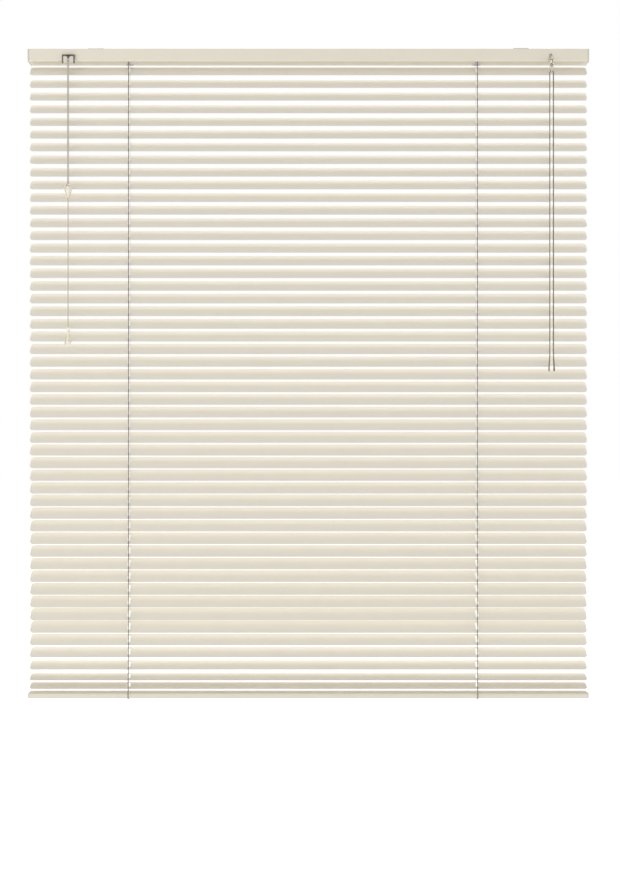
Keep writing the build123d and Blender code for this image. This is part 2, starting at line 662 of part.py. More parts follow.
connector_and_tassel.part.label = "connector_and_tassel"
export_step(connector_and_tassel.part, "parts/connector_and_tassel.step")

# Bottom rail: closed tube, two end caps and two buttons that hold the ladders and the cords' knots
tube_half = bottom_rail_length / 2 - BOTTOM_CAP
with BuildPart() as bottom_rail:
    with BuildSketch(Plane.YZ):
        with Locations((0, bottom_rail_middle)):
            RectangleRounded(BOTTOM_RAIL_DEPTH, BOTTOM_RAIL_HEIGHT, BOTTOM_RAIL_CORNER)
            RectangleRounded(
                BOTTOM_RAIL_DEPTH - 2 * BOTTOM_RAIL_WALL,
                BOTTOM_RAIL_HEIGHT - 2 * BOTTOM_RAIL_WALL,
                BOTTOM_RAIL_CORNER - BOTTOM_RAIL_WALL,
                mode=Mode.SUBTRACT,
            )
    extrude(amount=tube_half, both=True)
    with BuildSketch(Plane.XY.offset(bottom_rail_top)):
        with Locations(*[(place, 0) for place in ladder_places]):
            Circle(BOTTOM_CORD_HOLE / 2)
    extrude(amount=2 * BOTTOM_RAIL_WALL, both=True, mode=Mode.SUBTRACT)
    with BuildSketch(Plane.XY.offset(bottom_rail_bottom)):
        with Locations(*[(place, 0) for place in ladder_places]):
            Circle(BUTTON_STEM_RADIUS + BORE_FIT)
    extrude(amount=2 * BOTTOM_RAIL_WALL, both=True, mode=Mode.SUBTRACT)
    for side in (-1, 1):
        cap_plane = Plane.YZ.offset(side * (tube_half + BORE_FIT))
        with BuildSketch(cap_plane):
            with Locations((0, bottom_rail_middle)):
                RectangleRounded(BOTTOM_RAIL_DEPTH, BOTTOM_RAIL_HEIGHT, BOTTOM_RAIL_CORNER)
        extrude(amount=side * (BOTTOM_CAP - BORE_FIT))
        with BuildSketch(cap_plane):
            with Locations((0, bottom_rail_middle)):
                RectangleRounded(
                    BOTTOM_RAIL_DEPTH - 2 * (BOTTOM_RAIL_WALL + PLUG_FIT),
                    BOTTOM_RAIL_HEIGHT - 2 * (BOTTOM_RAIL_WALL + PLUG_FIT),
                    BOTTOM_RAIL_CORNER - BOTTOM_RAIL_WALL - PLUG_FIT,
                )
        extrude(amount=-side * CAP_PLUG)
    button_face = bottom_rail_bottom - BORE_FIT
    with BuildSketch(Plane.XY.offset(button_face)):
        with Locations(*[(place, 0) for place in ladder_places]):
            Circle(BUTTON_RADIUS)
    extrude(amount=-BUTTON_FLANGE)
    with BuildSketch(Plane.XY.offset(button_face)):
        with Locations(*[(place, 0) for place in ladder_places]):
            Circle(BUTTON_STEM_RADIUS)
    extrude(amount=button_top - button_face)
bottom_rail.part.label = "bottom_rail"
export_step(bottom_rail.part, "parts/bottom_rail.step")
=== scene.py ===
"""Looks, light and camera for a 25 mm venetian blind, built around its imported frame."""

import json
from itertools import product
from math import pi, radians, sqrt

import bmesh
import bpy
from bpy.props import FloatProperty, FloatVectorProperty, IntProperty, PointerProperty
from mathutils import Matrix, Vector

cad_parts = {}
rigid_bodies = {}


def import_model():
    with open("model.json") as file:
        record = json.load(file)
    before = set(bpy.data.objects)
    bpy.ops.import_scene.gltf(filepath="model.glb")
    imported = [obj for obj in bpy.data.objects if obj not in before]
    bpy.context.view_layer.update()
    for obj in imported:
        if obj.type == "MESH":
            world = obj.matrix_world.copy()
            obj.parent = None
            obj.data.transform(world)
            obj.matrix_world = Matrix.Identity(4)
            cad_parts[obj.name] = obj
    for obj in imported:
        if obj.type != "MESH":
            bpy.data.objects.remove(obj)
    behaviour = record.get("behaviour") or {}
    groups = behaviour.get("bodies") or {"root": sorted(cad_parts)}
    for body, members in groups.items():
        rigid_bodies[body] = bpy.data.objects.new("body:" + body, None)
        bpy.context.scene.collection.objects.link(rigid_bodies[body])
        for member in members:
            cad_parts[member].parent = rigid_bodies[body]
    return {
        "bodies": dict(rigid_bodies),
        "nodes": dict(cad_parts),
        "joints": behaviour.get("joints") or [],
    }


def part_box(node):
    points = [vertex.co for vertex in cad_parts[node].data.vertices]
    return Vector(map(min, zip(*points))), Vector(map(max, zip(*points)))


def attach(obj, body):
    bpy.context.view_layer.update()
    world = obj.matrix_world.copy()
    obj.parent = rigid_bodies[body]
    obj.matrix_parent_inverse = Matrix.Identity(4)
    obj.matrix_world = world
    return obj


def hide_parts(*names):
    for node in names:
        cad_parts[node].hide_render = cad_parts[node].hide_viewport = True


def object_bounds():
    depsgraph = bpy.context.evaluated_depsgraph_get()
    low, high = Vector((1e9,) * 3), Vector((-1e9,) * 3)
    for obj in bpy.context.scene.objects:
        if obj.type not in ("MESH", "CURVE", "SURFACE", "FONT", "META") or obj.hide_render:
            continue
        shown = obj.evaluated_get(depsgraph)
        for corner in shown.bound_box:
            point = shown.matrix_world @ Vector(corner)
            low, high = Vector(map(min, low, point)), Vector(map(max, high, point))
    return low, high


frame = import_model()
cad_low, cad_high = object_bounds()

bl_info = {
    "name": "Venetian Blind",
    "version": (1, 0, 0),
    "blender": (4, 5, 0),
    "location": "View3D > Sidebar > Blind",
    "description": "Models the slats, ladders, cords, wand and rails of a venetian blind",
    "category": "Object",
}

MM = 0.001
NEAR = 1e-6
SIDES = (-1, 1)
ALONG_X, ALONG_Y, ALONG_Z = range(3)
WHITE = (1, 1, 1, 1)
FIXED = "blind_frame"

# How finely round shapes are divided
SMOOTH_ANGLE = radians(35)
TURNED_SIDES = 28
CORNER_STEPS = 6
SMALL_CORNER_STEPS = 4

# The lowest slats: some tilted as the rest, then flatter ones, of which the last two hang closer
ALIKE_ROWS = 4
FLATTER_TILTS = (42, 35, 29, 20, 17)
CLOSER_DROPS = (19.8 * MM, 14.8 * MM)

# Radius of a cord slot's round ends, as a share of its width
SLOT_ROUNDING = 0.49

# How squarely the wand's surface meets the eye where its painted side shade starts, and where it is darkest
SIDE_SHADE_STARTS = 0.94
SIDE_SHADE_FULL = 0.7

# Depth of each kind of surface relief
ENAMEL_RELIEF = 4e-6
MOULDED_RELIEF = 1e-5
GLASS_RELIEF = 2e-6
METAL_RELIEF = 5e-6
STRING_RELIEF = 6e-5
CORD_RELIEF = 8e-5

# Kinds of node socket, by how many numbers each holds
SOCKET_KINDS = {1: "NodeSocketFloat", 3: "NodeSocketVector", 4: "NodeSocketColor"}

# Places read from the frame
joints = {joint["name"]: joint for joint in frame["joints"]}
slat_bodies = sorted(name for name in frame["bodies"] if name.startswith("slat_"))
slat_heights = [joints[body + "_tilt"]["pos_m"][2] for body in slat_bodies]


def middle(node):
    """The middle of a CAD node's box."""
    low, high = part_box(node)
    return (low + high) / 2


head_rail_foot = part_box("head_rail")[0].z
string_low, string_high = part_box("front_ladder_strings")
half_string = (string_high.y - string_low.y) / 2
ladder_places = (string_low.x + half_string, string_high.x - half_string)
string_depths = [middle(node).y for node in ("front_ladder_strings", "rear_ladder_strings")]
bottom_low, bottom_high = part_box("bottom_rail")
tail_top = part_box("pull_cords")[1].z
ends_low, ends_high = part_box("connector_and_tassel")
lock_low, lock_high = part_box("cord_lock")
wand_low, wand_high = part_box("wand")
wand_axis = middle("wand")
ball = Vector(joints["wand_swing"]["pos_m"])
cord_place = Vector((middle("pull_cords").x, middle("pull_cords").y, 0))


def length_setting(name, description, millimetres):
    """A length that a user may change, given in millimetres and kept in metres."""
    return FloatProperty(
        name=name, description=description, default=millimetres * MM, unit="LENGTH", precision=5
    )


def colour_setting(name, description, red, green, blue):
    """A colour that a user may change."""
    return FloatVectorProperty(
        name=name, description=description, default=(red, green, blue), subtype="COLOR", min=0, max=1
    )


class BlindSizes(bpy.types.PropertyGroup):
    """Sizes of the blind's pieces"""

    slat_length: length_setting("Slat length", "Length of every slat", 946)
    slat_width: length_setting("Slat width", "Width across a slat", 25)
    slat_gauge: length_setting("Slat gauge", "Thickness of the slat strip", 0.3)
    slat_crown: length_setting("Slat crown", "Rise of the slat's curve", 2)
    slat_corner: length_setting("Slat corner", "Radius of a slat's corners", 5)
    slat_rows: IntProperty(name="Slat rows", description="Strips across a slat's curve", default=12)
    route_length: length_setting("Cord slot length", "Length of the cord slot across a slat", 14)
    route_width: length_setting("Cord slot width", "Width of the cord slot", 4.5)
    slat_pitch: length_setting("Slat pitch", "Drop from one slat to the next", 21.5)
    rest_tilt: FloatProperty(
        name="Rest tilt", description="Tilt of the slats at rest", default=radians(47.5), subtype="ANGLE"
    )
    string_width: length_setting("String width", "Width of a front ladder string", 1.4)
    string_depth: length_setting("String depth", "Depth of a front ladder string from front to back", 0.8)
    thread_diameter: length_setting("Rung thread diameter", "Thickness of a ladder rung's thread", 0.45)
    thread_spread: length_setting("Rung spread", "Half the gap between a rung's two threads", 0.5)
    cord_diameter: length_setting("Cord diameter", "Thickness of the free cords", 1.4)
    lift_diameter: length_setting("Lift cord diameter", "Thickness of the cords inside the blind", 1.0)
    rear_string: length_setting("Rear string diameter", "Thickness of the strings behind the slats", 0.6)
    tail_length: length_setting("Tail length", "Cord from the lock to the connector", 210)
    pull_length: length_setting("Pull cord length", "Cord from the connector to the tassel", 217)
    tail_spacing: length_setting("Tail spacing", "Gap between the two tails' middles", 2)
    connector_length: length_setting("Connector length", "Height of the cord connector", 23)
    tassel_length: length_setting("Tassel length", "Height of the tassel", 30)
    wand_length: length_setting("Wand length", "Length of the clear wand", 505)
    wand_radius: length_setting("Wand radius", "Middle to corner of the six-sided wand", 4.2)
    wand_flare: length_setting("Wand grip radius", "Middle to corner of the wand's flared grip", 5.95)
    bottom_height: length_setting("Bottom rail height", "Height of the bottom rail", 10)
    bottom_cap: length_setting("Bottom rail cap", "Thickness of the bottom rail's end caps", 2)


class BlindFinishes(bpy.types.PropertyGroup):
    """Colours of the blind's finishes"""

    slat_cream: colour_setting("Slat cream", "Enamel on the slats", 0.83, 0.783, 0.685)
    rail_cream: colour_setting("Rail cream", "Enamel on both rails", 0.80, 0.745, 0.63)
    # Partly painted shade: the caps' own cream plastic, made a little darker to stand in for shade on them
    cap_cream: colour_setting("Cap cream", "Plastic of the end caps", 0.66, 0.62, 0.54)
    part_white: colour_setting("Part white", "Plastic of the inner parts", 0.80, 0.79, 0.75)
    lock_brown: colour_setting("Lock brown", "Plastic of the cord lock", 0.15, 0.125, 0.092)
    lock_pale: colour_setting("Lock pale", "Plastic of the lock's tabs", 0.72, 0.675, 0.585)
    # Painted shade: the front ladder strings get a dark grey that stands in for shade on thin strings; the
    # same yarn behind the slats is pale
    shaded_ladder_grey: colour_setting("Shaded ladder grey", "Yarn of the ladders", 0.19, 0.172, 0.137)
    cord_grey: colour_setting("Cord grey", "Yarn of the free cords", 0.50, 0.46, 0.385)
    # Painted light: the rear strings, rungs and lift cords get a paler yarn colour as if lit from the window
    # behind; the same yarn in front is darker
    window_lit_pale: colour_setting("Window lit pale", "Yarn behind the slats, painted lighter as if lit from behind", 0.74, 0.70, 0.61)
    clear_tint: colour_setting("Clear tint", "Clear plastic of the wand", 0.965, 0.955, 0.92)
    # Painted shade: the wand's colour goes to this dark tone at its slanting sides
    painted_side_shade: colour_setting("Painted side shade", "Dark look of the wand's edges", 0.03, 0.026, 0.02)
    milky_tint: colour_setting("Milky tint", "Plastic of connector and tassel", 0.93, 0.905, 0.84)
    zinc: colour_setting("Zinc", "Plated steel", 0.56, 0.55, 0.53)
    # Painted reflection: the hook's colour is darkened to stand in for the dark surroundings its plated
    # steel reflects
    wire: colour_setting("Wire", "Dark wire of the wand's hook", 0.10, 0.088, 0.07)


class BlindStage(bpy.types.PropertyGroup):
    """Camera, floor and soft light"""

    camera_distance: length_setting("Camera distance", "From the slats' middle to the camera", 1964)
    camera_height: length_setting("Camera height", "Height of the camera", -663.3)
    camera_side: length_setting("Camera side", "Sideways place of the camera", 2.7)
    camera_lens: FloatProperty(name="Lens", description="Focal length in millimetres", default=47.2)
    floor_height: length_setting("Floor height", "Height of the floor", -1400)
    world_light: FloatProperty(
        name="World light", description="Strength of the soft light all round", default=0.455
    )


# Selecting and shaping

def deselect():
    """Leave object mode's selection empty."""
    if bpy.context.object and bpy.context.object.mode != "OBJECT":
        bpy.ops.object.mode_set(mode="OBJECT")
    bpy.ops.object.select_all(action="DESELECT")


def pick(*pieces):
    """Select these pieces alone; the first is active."""
    deselect()
    for piece in pieces:
        piece.select_set(True)
    bpy.context.view_layer.objects.active = pieces[0]


def begin(name, add, **settings):
    """A new primitive of that name, in edit mode with all of it selected."""
    deselect()
    add(**settings)
    piece = bpy.context.object
    piece.name = name
    piece.data.name = name
    bpy.ops.object.mode_set(mode="EDIT")
    bpy.ops.mesh.select_all(action="SELECT")
    return piece


def choose(piece, kind, test):
    """In edit mode, select the vertices, edges or faces that pass a test."""
    bpy.ops.mesh.select_mode(type=kind)
    bpy.ops.mesh.select_all(action="DESELECT")
    work = bmesh.from_edit_mesh(piece.data)
    parts = {"VERT": work.verts, "EDGE": work.edges, "FACE": work.faces}[kind]
    for part in parts:
        if test(part):
            part.select_set(True)
    work.select_flush_mode()
    bmesh.update_edit_mesh(piece.data)


def runs_along(edge, axis):
    """Whether an edge runs along the given axis number."""
    start, end = edge.verts[0].co, edge.verts[1].co
    across = [abs(start[other] - end[other]) for other in range(3) if other != axis]
    return max(across) < NEAR


def finish_mesh(piece):
    """Merge doubles, turn the faces outwards, leave edit mode and smooth the gentle angles."""
    bpy.ops.mesh.select_all(action="SELECT")
    bpy.ops.mesh.remove_doubles(threshold=NEAR)
    bpy.ops.mesh.normals_make_consistent(inside=False)
    bpy.ops.object.mode_set(mode="OBJECT")
    pick(piece)
    bpy.ops.object.transform_apply(location=True, rotation=True, scale=True)
    bpy.ops.object.shade_smooth_by_angle(angle=SMOOTH_ANGLE)
    return piece


def apply_modifier(piece, kind, **settings):
    """Add a modifier, set it and apply it."""
    pick(piece)
    modifier = piece.modifiers.new(kind.title(), kind)
    for name, value in settings.items():
        setattr(modifier, name, value)
    bpy.ops.object.modifier_apply(modifier=modifier.name)


def turned_piece(name, centre, base, drawn, stretch=1, sides=TURNED_SIDES):
    """A piece turned about an upright axis, from radii and heights above its base in millimetres."""
    outline = [(radius * MM, base + height * MM * stretch) for radius, height in drawn]
    radius, height = outline[0]
    place = (centre[0], centre[1], height)
    add = bpy.ops.mesh.primitive_circle_add
    piece = begin(name, add, vertices=sides, radius=radius, fill_type="NGON", location=place)
    draw_along(centre, outline)
    return finish_mesh(piece)


def draw_along(centre, outline):
    """Extrude the selected disc from ring to ring of an outline."""
    for (radius, height), (next_radius, next_height) in zip(outline, outline[1:]):
        share = next_radius / radius
        bpy.ops.mesh.extrude_region_move(TRANSFORM_OT_translate={"value": (0, 0, next_height - height)})
        middle_of_ring = (centre[0], centre[1], next_height)
        bpy.ops.transform.resize(value=(share, share, 1), center_override=middle_of_ring)


def rounded_block(name, low, high, axis, corner, segments=CORNER_STEPS):
    """A block between two corners, with the edges along one axis rounded."""
    piece = begin(name, bpy.ops.mesh.primitive_cube_add, size=1)
    bpy.ops.transform.resize(value=Vector(high) - Vector(low))
    bpy.ops.transform.translate(value=(Vector(high) + Vector(low)) / 2)
    choose(piece, "EDGE", lambda edge: runs_along(edge, axis))
    bpy.ops.mesh.bevel(offset=corner, segments=segments, affect="EDGES")
    return piece


def joined_blocks(name, blocks, axis):
    """Blocks of two corners and a rounding each, joined into one piece."""
    pieces = []
    for low, high, corner in blocks:
        block = rounded_block(name, low, high, axis, corner, SMALL_CORNER_STEPS)
        pieces.append(finish_mesh(block))
    return join_as(name, pieces)


def join_as(name, pieces):
    """Join finished pieces into one of that name."""
    pick(*pieces)
    bpy.ops.object.join()
    joined = bpy.context.object
    joined.name = name
    joined.data.name = name
    return joined


def new_object(name, data):
    """A new object in the scene."""
    made = bpy.data.objects.new(name, data)
    bpy.context.scene.collection.objects.link(made)
    return made


def strand(name, routes, radius, knots=1.0):
    """A cord or thread on smooth lines through its points; knots thickens the ends of each line."""
    line = bpy.data.curves.new(name, "CURVE")
    line.dimensions = "3D"
    line.bevel_depth = radius
    line.bevel_resolution = 1
    line.resolution_u = 4
    line.use_fill_caps = True
    for points in routes:
        spline = line.splines.new("NURBS")
        spline.points.add(len(points) - 1)
        for place, point in zip(points, spline.points):
            point.co = (*place, 1)
        spline.points[0].radius = knots
        spline.points[-1].radius = knots
        spline.order_u = 3
        spline.use_endpoint_u = True
    return new_object(name, line)


def as_mesh(piece):
    """Turn a strand into a mesh."""
    pick(piece)
    bpy.ops.object.convert(target="MESH")
    bpy.ops.object.shade_smooth()
    return piece


def copy_of(master, name, placing):
    """A copy of a modelled piece with its own mesh, put in its place."""
    mesh = master.data.copy()
    mesh.name = name
    mesh.transform(placing)
    return new_object(name, mesh)


def dismiss(*masters):
    """Remove models that only served to be copied or to cut."""
    for master in masters:
        bpy.data.objects.remove(master)


def coat(piece, finish):
    """Give a piece one finish, by its plain name."""
    piece.data.materials.clear()
    piece.data.materials.append(finish_named(finish))


def hang(piece, body, slot, finish, *nodes):
    """Give a piece its finish and its body, and hide the CAD nodes that it stands for. The slot is not used.
    """
    coat(piece, finish)
    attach(piece, body)
    if nodes:
        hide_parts(*nodes)
    return piece


def dress(node_name, finish):
    """Give a CAD node's own shape a better finish."""
    shape = frame["nodes"][node_name]
    coat(shape, finish)
    return shape


# Node groups shared by the finishes

def new_group(name, settings, outputs):
    """An empty group that takes a place, a colour and its own settings, with its inner ends."""
    group = bpy.data.node_groups.new(name, "ShaderNodeTree")
    inputs = {"Vector": (0, 0, 0), "Colour": WHITE, **settings}
    for label, default in inputs.items():
        kind = SOCKET_KINDS[len(default) if isinstance(default, tuple) else 1]
        socket = group.interface.new_socket(name=label, in_out="INPUT", socket_type=kind)
        socket.default_value = default
    for label in outputs:
        kind = SOCKET_KINDS[len(WHITE) if label == "Colour" else 1]
        group.interface.new_socket(name=label, in_out="OUTPUT", socket_type=kind)
    given = group.nodes.new("NodeGroupInput").outputs
    result = group.nodes.new("NodeGroupOutput").inputs
    return group, given, result


def node(tree, kind, **settings):
    """A shader node with its settings."""
    made = tree.nodes.new("ShaderNode" + kind)
    for name, value in settings.items():
        setattr(made, name, value)
    return made


def feed(tree, value, socket):
    """Link a value to a socket, or set a plain number on it."""
    if isinstance(value, (int, float)):
        socket.default_value = value
    else:
        tree.links.new(value, socket)


def calculate(tree, operation, *values):
    """A sum on sockets and plain numbers."""
    made = node(tree, "Math", operation=operation)
    for value, socket in zip(values, made.inputs):
        feed(tree, value, socket)
    return made.outputs[0]


def spread(tree, value, low, high, start=0, full=1):
    """A number that goes from low to high as a value goes from its start to its full size."""
    made = node(tree, "MapRange")
    ends = {"Value": value, "From Min": start, "From Max": full, "To Min": low, "To Max": high}
    for label, source in ends.items():
        feed(tree, source, made.inputs[label])
    return made.outputs["Result"]


def noise(tree, vector, scale, detail):
    """A noise texture on a vector."""
    made = node(tree, "TexNoise")
    tree.links.new(vector, made.inputs["Vector"])
    feed(tree, scale, made.inputs["Scale"])
    made.inputs["Detail"].default_value = detail
    return made.outputs["Fac"]


def tinted(tree, colour, factor, amount):
    """A colour made lighter and darker about itself by a factor from 0 to 1."""
    darkest = calculate(tree, "SUBTRACT", 1, amount)
    lightest = calculate(tree, "ADD", 1, amount)
    scaled = node(tree, "VectorMath", operation="SCALE")
    tree.links.new(colour, scaled.inputs[0])
    tree.links.new(spread(tree, factor, darkest, lightest), scaled.inputs["Scale"])
    return scaled.outputs["Vector"]


def put_out(group, result, **values):
    """Link values to a group's outputs of the same names."""
    for label, value in values.items():
        group.links.new(value, result[label])


def paint_group():
    """Enamel and moulded plastic: faint mottling, uneven gloss and an orange-peel surface."""
    settings = {
        "Mottle": 0.02, "Mottle scale": 30.0, "Peel scale": 900.0, "Gloss low": 0.3, "Gloss high": 0.4,
    }
    group, given, result = new_group("Paint skin", settings, ("Colour", "Roughness", "Height"))
    mottle = noise(group, given["Vector"], given["Mottle scale"], detail=4.0)
    put_out(
        group,
        result,
        Colour=tinted(group, given["Colour"], mottle, given["Mottle"]),
        Roughness=spread(group, mottle, given["Gloss low"], given["Gloss high"]),
        Height=noise(group, given["Vector"], given["Peel scale"], detail=2.0),
    )
    return group


def yarn_group():
    """Twisted yarn: slanting plies, with painted shade in the grooves between them."""
    settings = {"Ply scale": 400.0, "Shade": 0.25}
    group, given, result = new_group("Yarn twist", settings, ("Colour", "Height"))
    plies = node(group, "TexWave", bands_direction="DIAGONAL")
    group.links.new(given["Vector"], plies.inputs["Vector"])
    group.links.new(given["Ply scale"], plies.inputs["Scale"])
    plies.inputs["Distortion"].default_value = 1.5
    plies.inputs["Detail"].default_value = 2.0
    twist = plies.outputs["Fac"]
    # Painted shade: the colour darkens in the grooves between plies
    colour = tinted(group, given["Colour"], twist, given["Shade"])
    put_out(group, result, Colour=colour, Height=twist)
    return group


def metal_group():
    """Plated steel: fine drawn grain along the part and clouded gloss."""
    settings = {"Stretch": (20, 900, 900), "Shade": 0.12}
    group, given, result = new_group("Drawn metal", settings, ("Colour", "Roughness", "Height"))
    stretched = node(group, "VectorMath", operation="MULTIPLY")
    group.links.new(given["Vector"], stretched.inputs[0])
    group.links.new(given["Stretch"], stretched.inputs[1])
    grain = noise(group, stretched.outputs["Vector"], scale=1.0, detail=3.0)
    put_out(
        group,
        result,
        Colour=tinted(group, given["Colour"], grain, given["Shade"]),
        Roughness=spread(group, grain, low=0.22, high=0.45),
        Height=grain,
    )
    return group


# Finishes

def new_finish(name, group, colour, bump, settings, constants):
    """A material whose colour, gloss and relief come from a group on Object coordinates."""
    finish = bpy.data.materials.new(name)
    finish.use_nodes = True
    tree = finish.node_tree
    shader = tree.nodes["Principled BSDF"]
    for socket, value in constants.items():
        shader.inputs[socket].default_value = value
    place = node(tree, "TexCoord")
    skin = node(tree, "Group")
    skin.node_tree = group
    tree.links.new(place.outputs["Object"], skin.inputs["Vector"])
    skin.inputs["Colour"].default_value = (*colour, 1)
    for socket, value in settings.items():
        skin.inputs[socket].default_value = value
    tree.links.new(skin.outputs["Colour"], shader.inputs["Base Color"])
    if "Roughness" in skin.outputs:
        tree.links.new(skin.outputs["Roughness"], shader.inputs["Roughness"])
    relief = node(tree, "Bump")
    relief.inputs["Distance"].default_value = bump
    tree.links.new(skin.outputs["Height"], relief.inputs["Height"])
    tree.links.new(relief.outputs["Normal"], shader.inputs["Normal"])
    return finish


def squareness(tree, direction=None):
    """How squarely the surface, or a direction in its place, meets the line of sight: from 0 to 1."""
    slant = node(tree, "LayerWeight")
    if direction:
        tree.links.new(direction, slant.inputs["Normal"])
    return calculate(tree, "SUBTRACT", 1, slant.outputs["Facing"])


def paint_wand_side_shade(finish, side_shade):
    """Paint shade into an upright clear rod's colour towards its sides, standing in for the dark
    surroundings that thick glass shows there, seen from any height.
    """
    tree = finish.node_tree
    shader = tree.nodes["Principled BSDF"]
    clear = shader.inputs["Base Color"].links[0].from_socket
    axis = node(tree, "VectorTransform", vector_type="VECTOR", convert_from="OBJECT", convert_to="WORLD")
    axis.inputs["Vector"].default_value = (0, 0, 1)
    along = squareness(tree, axis.outputs["Vector"])
    remainder = calculate(tree, "SUBTRACT", 1, calculate(tree, "MULTIPLY", along, along))
    across = calculate(tree, "SQRT", remainder)
    squarely = calculate(tree, "DIVIDE", squareness(tree), across)
    # Painted shade: mix the clear colour towards the dark tone at the rod's sides
    tint = node(tree, "MixRGB")
    tree.links.new(spread(tree, squarely, 0, 1, SIDE_SHADE_STARTS, SIDE_SHADE_FULL), tint.inputs["Fac"])
    tree.links.new(clear, tint.inputs["Color1"])
    tint.inputs["Color2"].default_value = (*side_shade, 1)
    tree.links.new(tint.outputs["Color"], shader.inputs["Base Color"])


finishes = {}


def finish_named(name):
    """A finish by its plain name; all of them are made when the first is needed."""
    if not finishes:
        make_finishes(bpy.context.scene.blind_finishes)
    return finishes[name]


def make_finishes(colours):
    """Every finish of the blind, by its plain name."""
    paint = paint_group()
    yarn = yarn_group()
    metal = metal_group()
    satin = {"Gloss low": 0.34, "Gloss high": 0.46}
    moulded = {"Gloss low": 0.42, "Gloss high": 0.55, "Peel scale": 1600.0, "Mottle": 0.03}
    enamel = {"Coat Weight": 0.15, "Coat Roughness": 0.25}
    clear = {"Transmission Weight": 1.0, "IOR": 1.49}
    milky = {"Transmission Weight": 0.85, "IOR": 1.46}
    yarn_look = {"Roughness": 0.85, "Sheen Weight": 0.3}
    steel = {"Metallic": 1.0}
    glassy = {"Gloss low": 0.03, "Gloss high": 0.08, "Mottle": 0.005, "Peel scale": 300.0}
    recipes = (
        ("slat_enamel", paint, colours.slat_cream, ENAMEL_RELIEF, satin, enamel),
        ("rail_enamel", paint, colours.rail_cream, ENAMEL_RELIEF, satin, enamel),
        # Cap plastic: its own cream with a little painted shade
        ("cap_plastic", paint, colours.cap_cream, MOULDED_RELIEF, moulded, {}),
        ("part_plastic", paint, colours.part_white, MOULDED_RELIEF, moulded, {}),
        ("lock_plastic", paint, colours.lock_brown, MOULDED_RELIEF, moulded, {}),
        ("tab_plastic", paint, colours.lock_pale, MOULDED_RELIEF, moulded, {}),
        ("clear_acrylic", paint, colours.clear_tint, GLASS_RELIEF, glassy, clear),
        ("wand_acrylic", paint, colours.clear_tint, GLASS_RELIEF, glassy, clear),
        ("milky_plastic", paint, colours.milky_tint, GLASS_RELIEF, glassy, milky),
        # Painted shade on the front ladder strings
        ("ladder_yarn", yarn, colours.shaded_ladder_grey, STRING_RELIEF, {"Ply scale": 420.0}, yarn_look),
        ("cord_yarn", yarn, colours.cord_grey, CORD_RELIEF, {"Ply scale": 300.0}, yarn_look),
        # Painted light on the yarn behind the slats
        ("window_lit_yarn", yarn, colours.window_lit_pale, STRING_RELIEF, {"Ply scale": 360.0}, yarn_look),
        ("plated_steel", metal, colours.zinc, METAL_RELIEF, {}, steel),
        ("bracket_steel", metal, colours.zinc, METAL_RELIEF, {"Stretch": (60, 700, 700)}, steel),
        # Painted reflection: a dark hook colour in place of the darker surroundings that plated steel would
        # reflect
        ("painted_dark_hook", metal, colours.wire, METAL_RELIEF, {}, {"Metallic": 0.4}),
    )
    for name, group, colour, bump, settings, constants in recipes:
        finishes[name] = new_finish(name, group, tuple(colour), bump, settings, constants)
    # Painted shade on the wand's slanting sides
    paint_wand_side_shade(finishes["wand_acrylic"], colours.painted_side_shade)


# Pieces

def crown_height(across, sizes):
    """Height of a flat-lying slat's middle layer, from the top of its crown."""
    radius = ((sizes.slat_width / 2) ** 2 + sizes.slat_crown**2) / (2 * sizes.slat_crown)
    return sqrt(radius**2 - across**2) - radius


def model_slat(sizes):
    """One level slat with the top of its crown at the origin."""
    blade = begin("slat_master", bpy.ops.mesh.primitive_plane_add, size=1)
    bpy.ops.transform.resize(value=(sizes.slat_length, sizes.slat_width, 1))
    bpy.ops.mesh.bevel(offset=sizes.slat_corner, segments=CORNER_STEPS, affect="VERTICES")
    for row in range(1, sizes.slat_rows):
        bpy.ops.mesh.select_all(action="SELECT")
        cut_at = sizes.slat_width * (row / sizes.slat_rows - 0.5)
        bpy.ops.mesh.bisect(plane_co=(0, cut_at, 0), plane_no=(0, 1, 0))
    work = bmesh.from_edit_mesh(blade.data)
    for across in sorted({round(vertex.co.y, 6) for vertex in work.verts}):
        choose(blade, "VERT", lambda vertex: abs(vertex.co.y - across) < 2 * NEAR)
        bpy.ops.transform.translate(value=(0, 0, crown_height(across, sizes)))
    finish_mesh(blade)
    apply_modifier(blade, "SOLIDIFY", thickness=sizes.slat_gauge, offset=0)
    cutters = []
    for place in ladder_places:
        low = (place - sizes.route_width / 2, -sizes.route_length / 2, -2 * sizes.slat_crown)
        high = (place + sizes.route_width / 2, sizes.route_length / 2, 2 * sizes.slat_crown)
        rounding = SLOT_ROUNDING * sizes.route_width
        cutter = rounded_block("slot_cutter", low, high, ALONG_Z, rounding)
        cutters.append(finish_mesh(cutter))
    for cutter in cutters:
        apply_modifier(blade, "BOOLEAN", object=cutter, operation="DIFFERENCE", solver="EXACT")
    dismiss(*cutters)
    pick(blade)
    bpy.ops.object.shade_smooth_by_angle(angle=SMOOTH_ANGLE)
    return blade


def lower_rows(sizes):
    """Heights and tilts of the lowest slats, which lie flatter towards the bottom rail."""
    tilts = [sizes.rest_tilt] * ALIKE_ROWS + [radians(angle) for angle in FLATTER_TILTS]
    drops = [sizes.slat_pitch] * (len(tilts) - len(CLOSER_DROPS)) + list(CLOSER_DROPS)
    height = slat_heights[-1]
    rows = []
    for drop, tilt in zip(drops, tilts):
        height -= drop
        rows.append((height, tilt))
    return rows


def tilted(height, tilt):
    """The placing of a level slat in its row."""
    return Matrix.Translation((0, 0, height)) @ Matrix.Rotation(tilt, 4, "X")


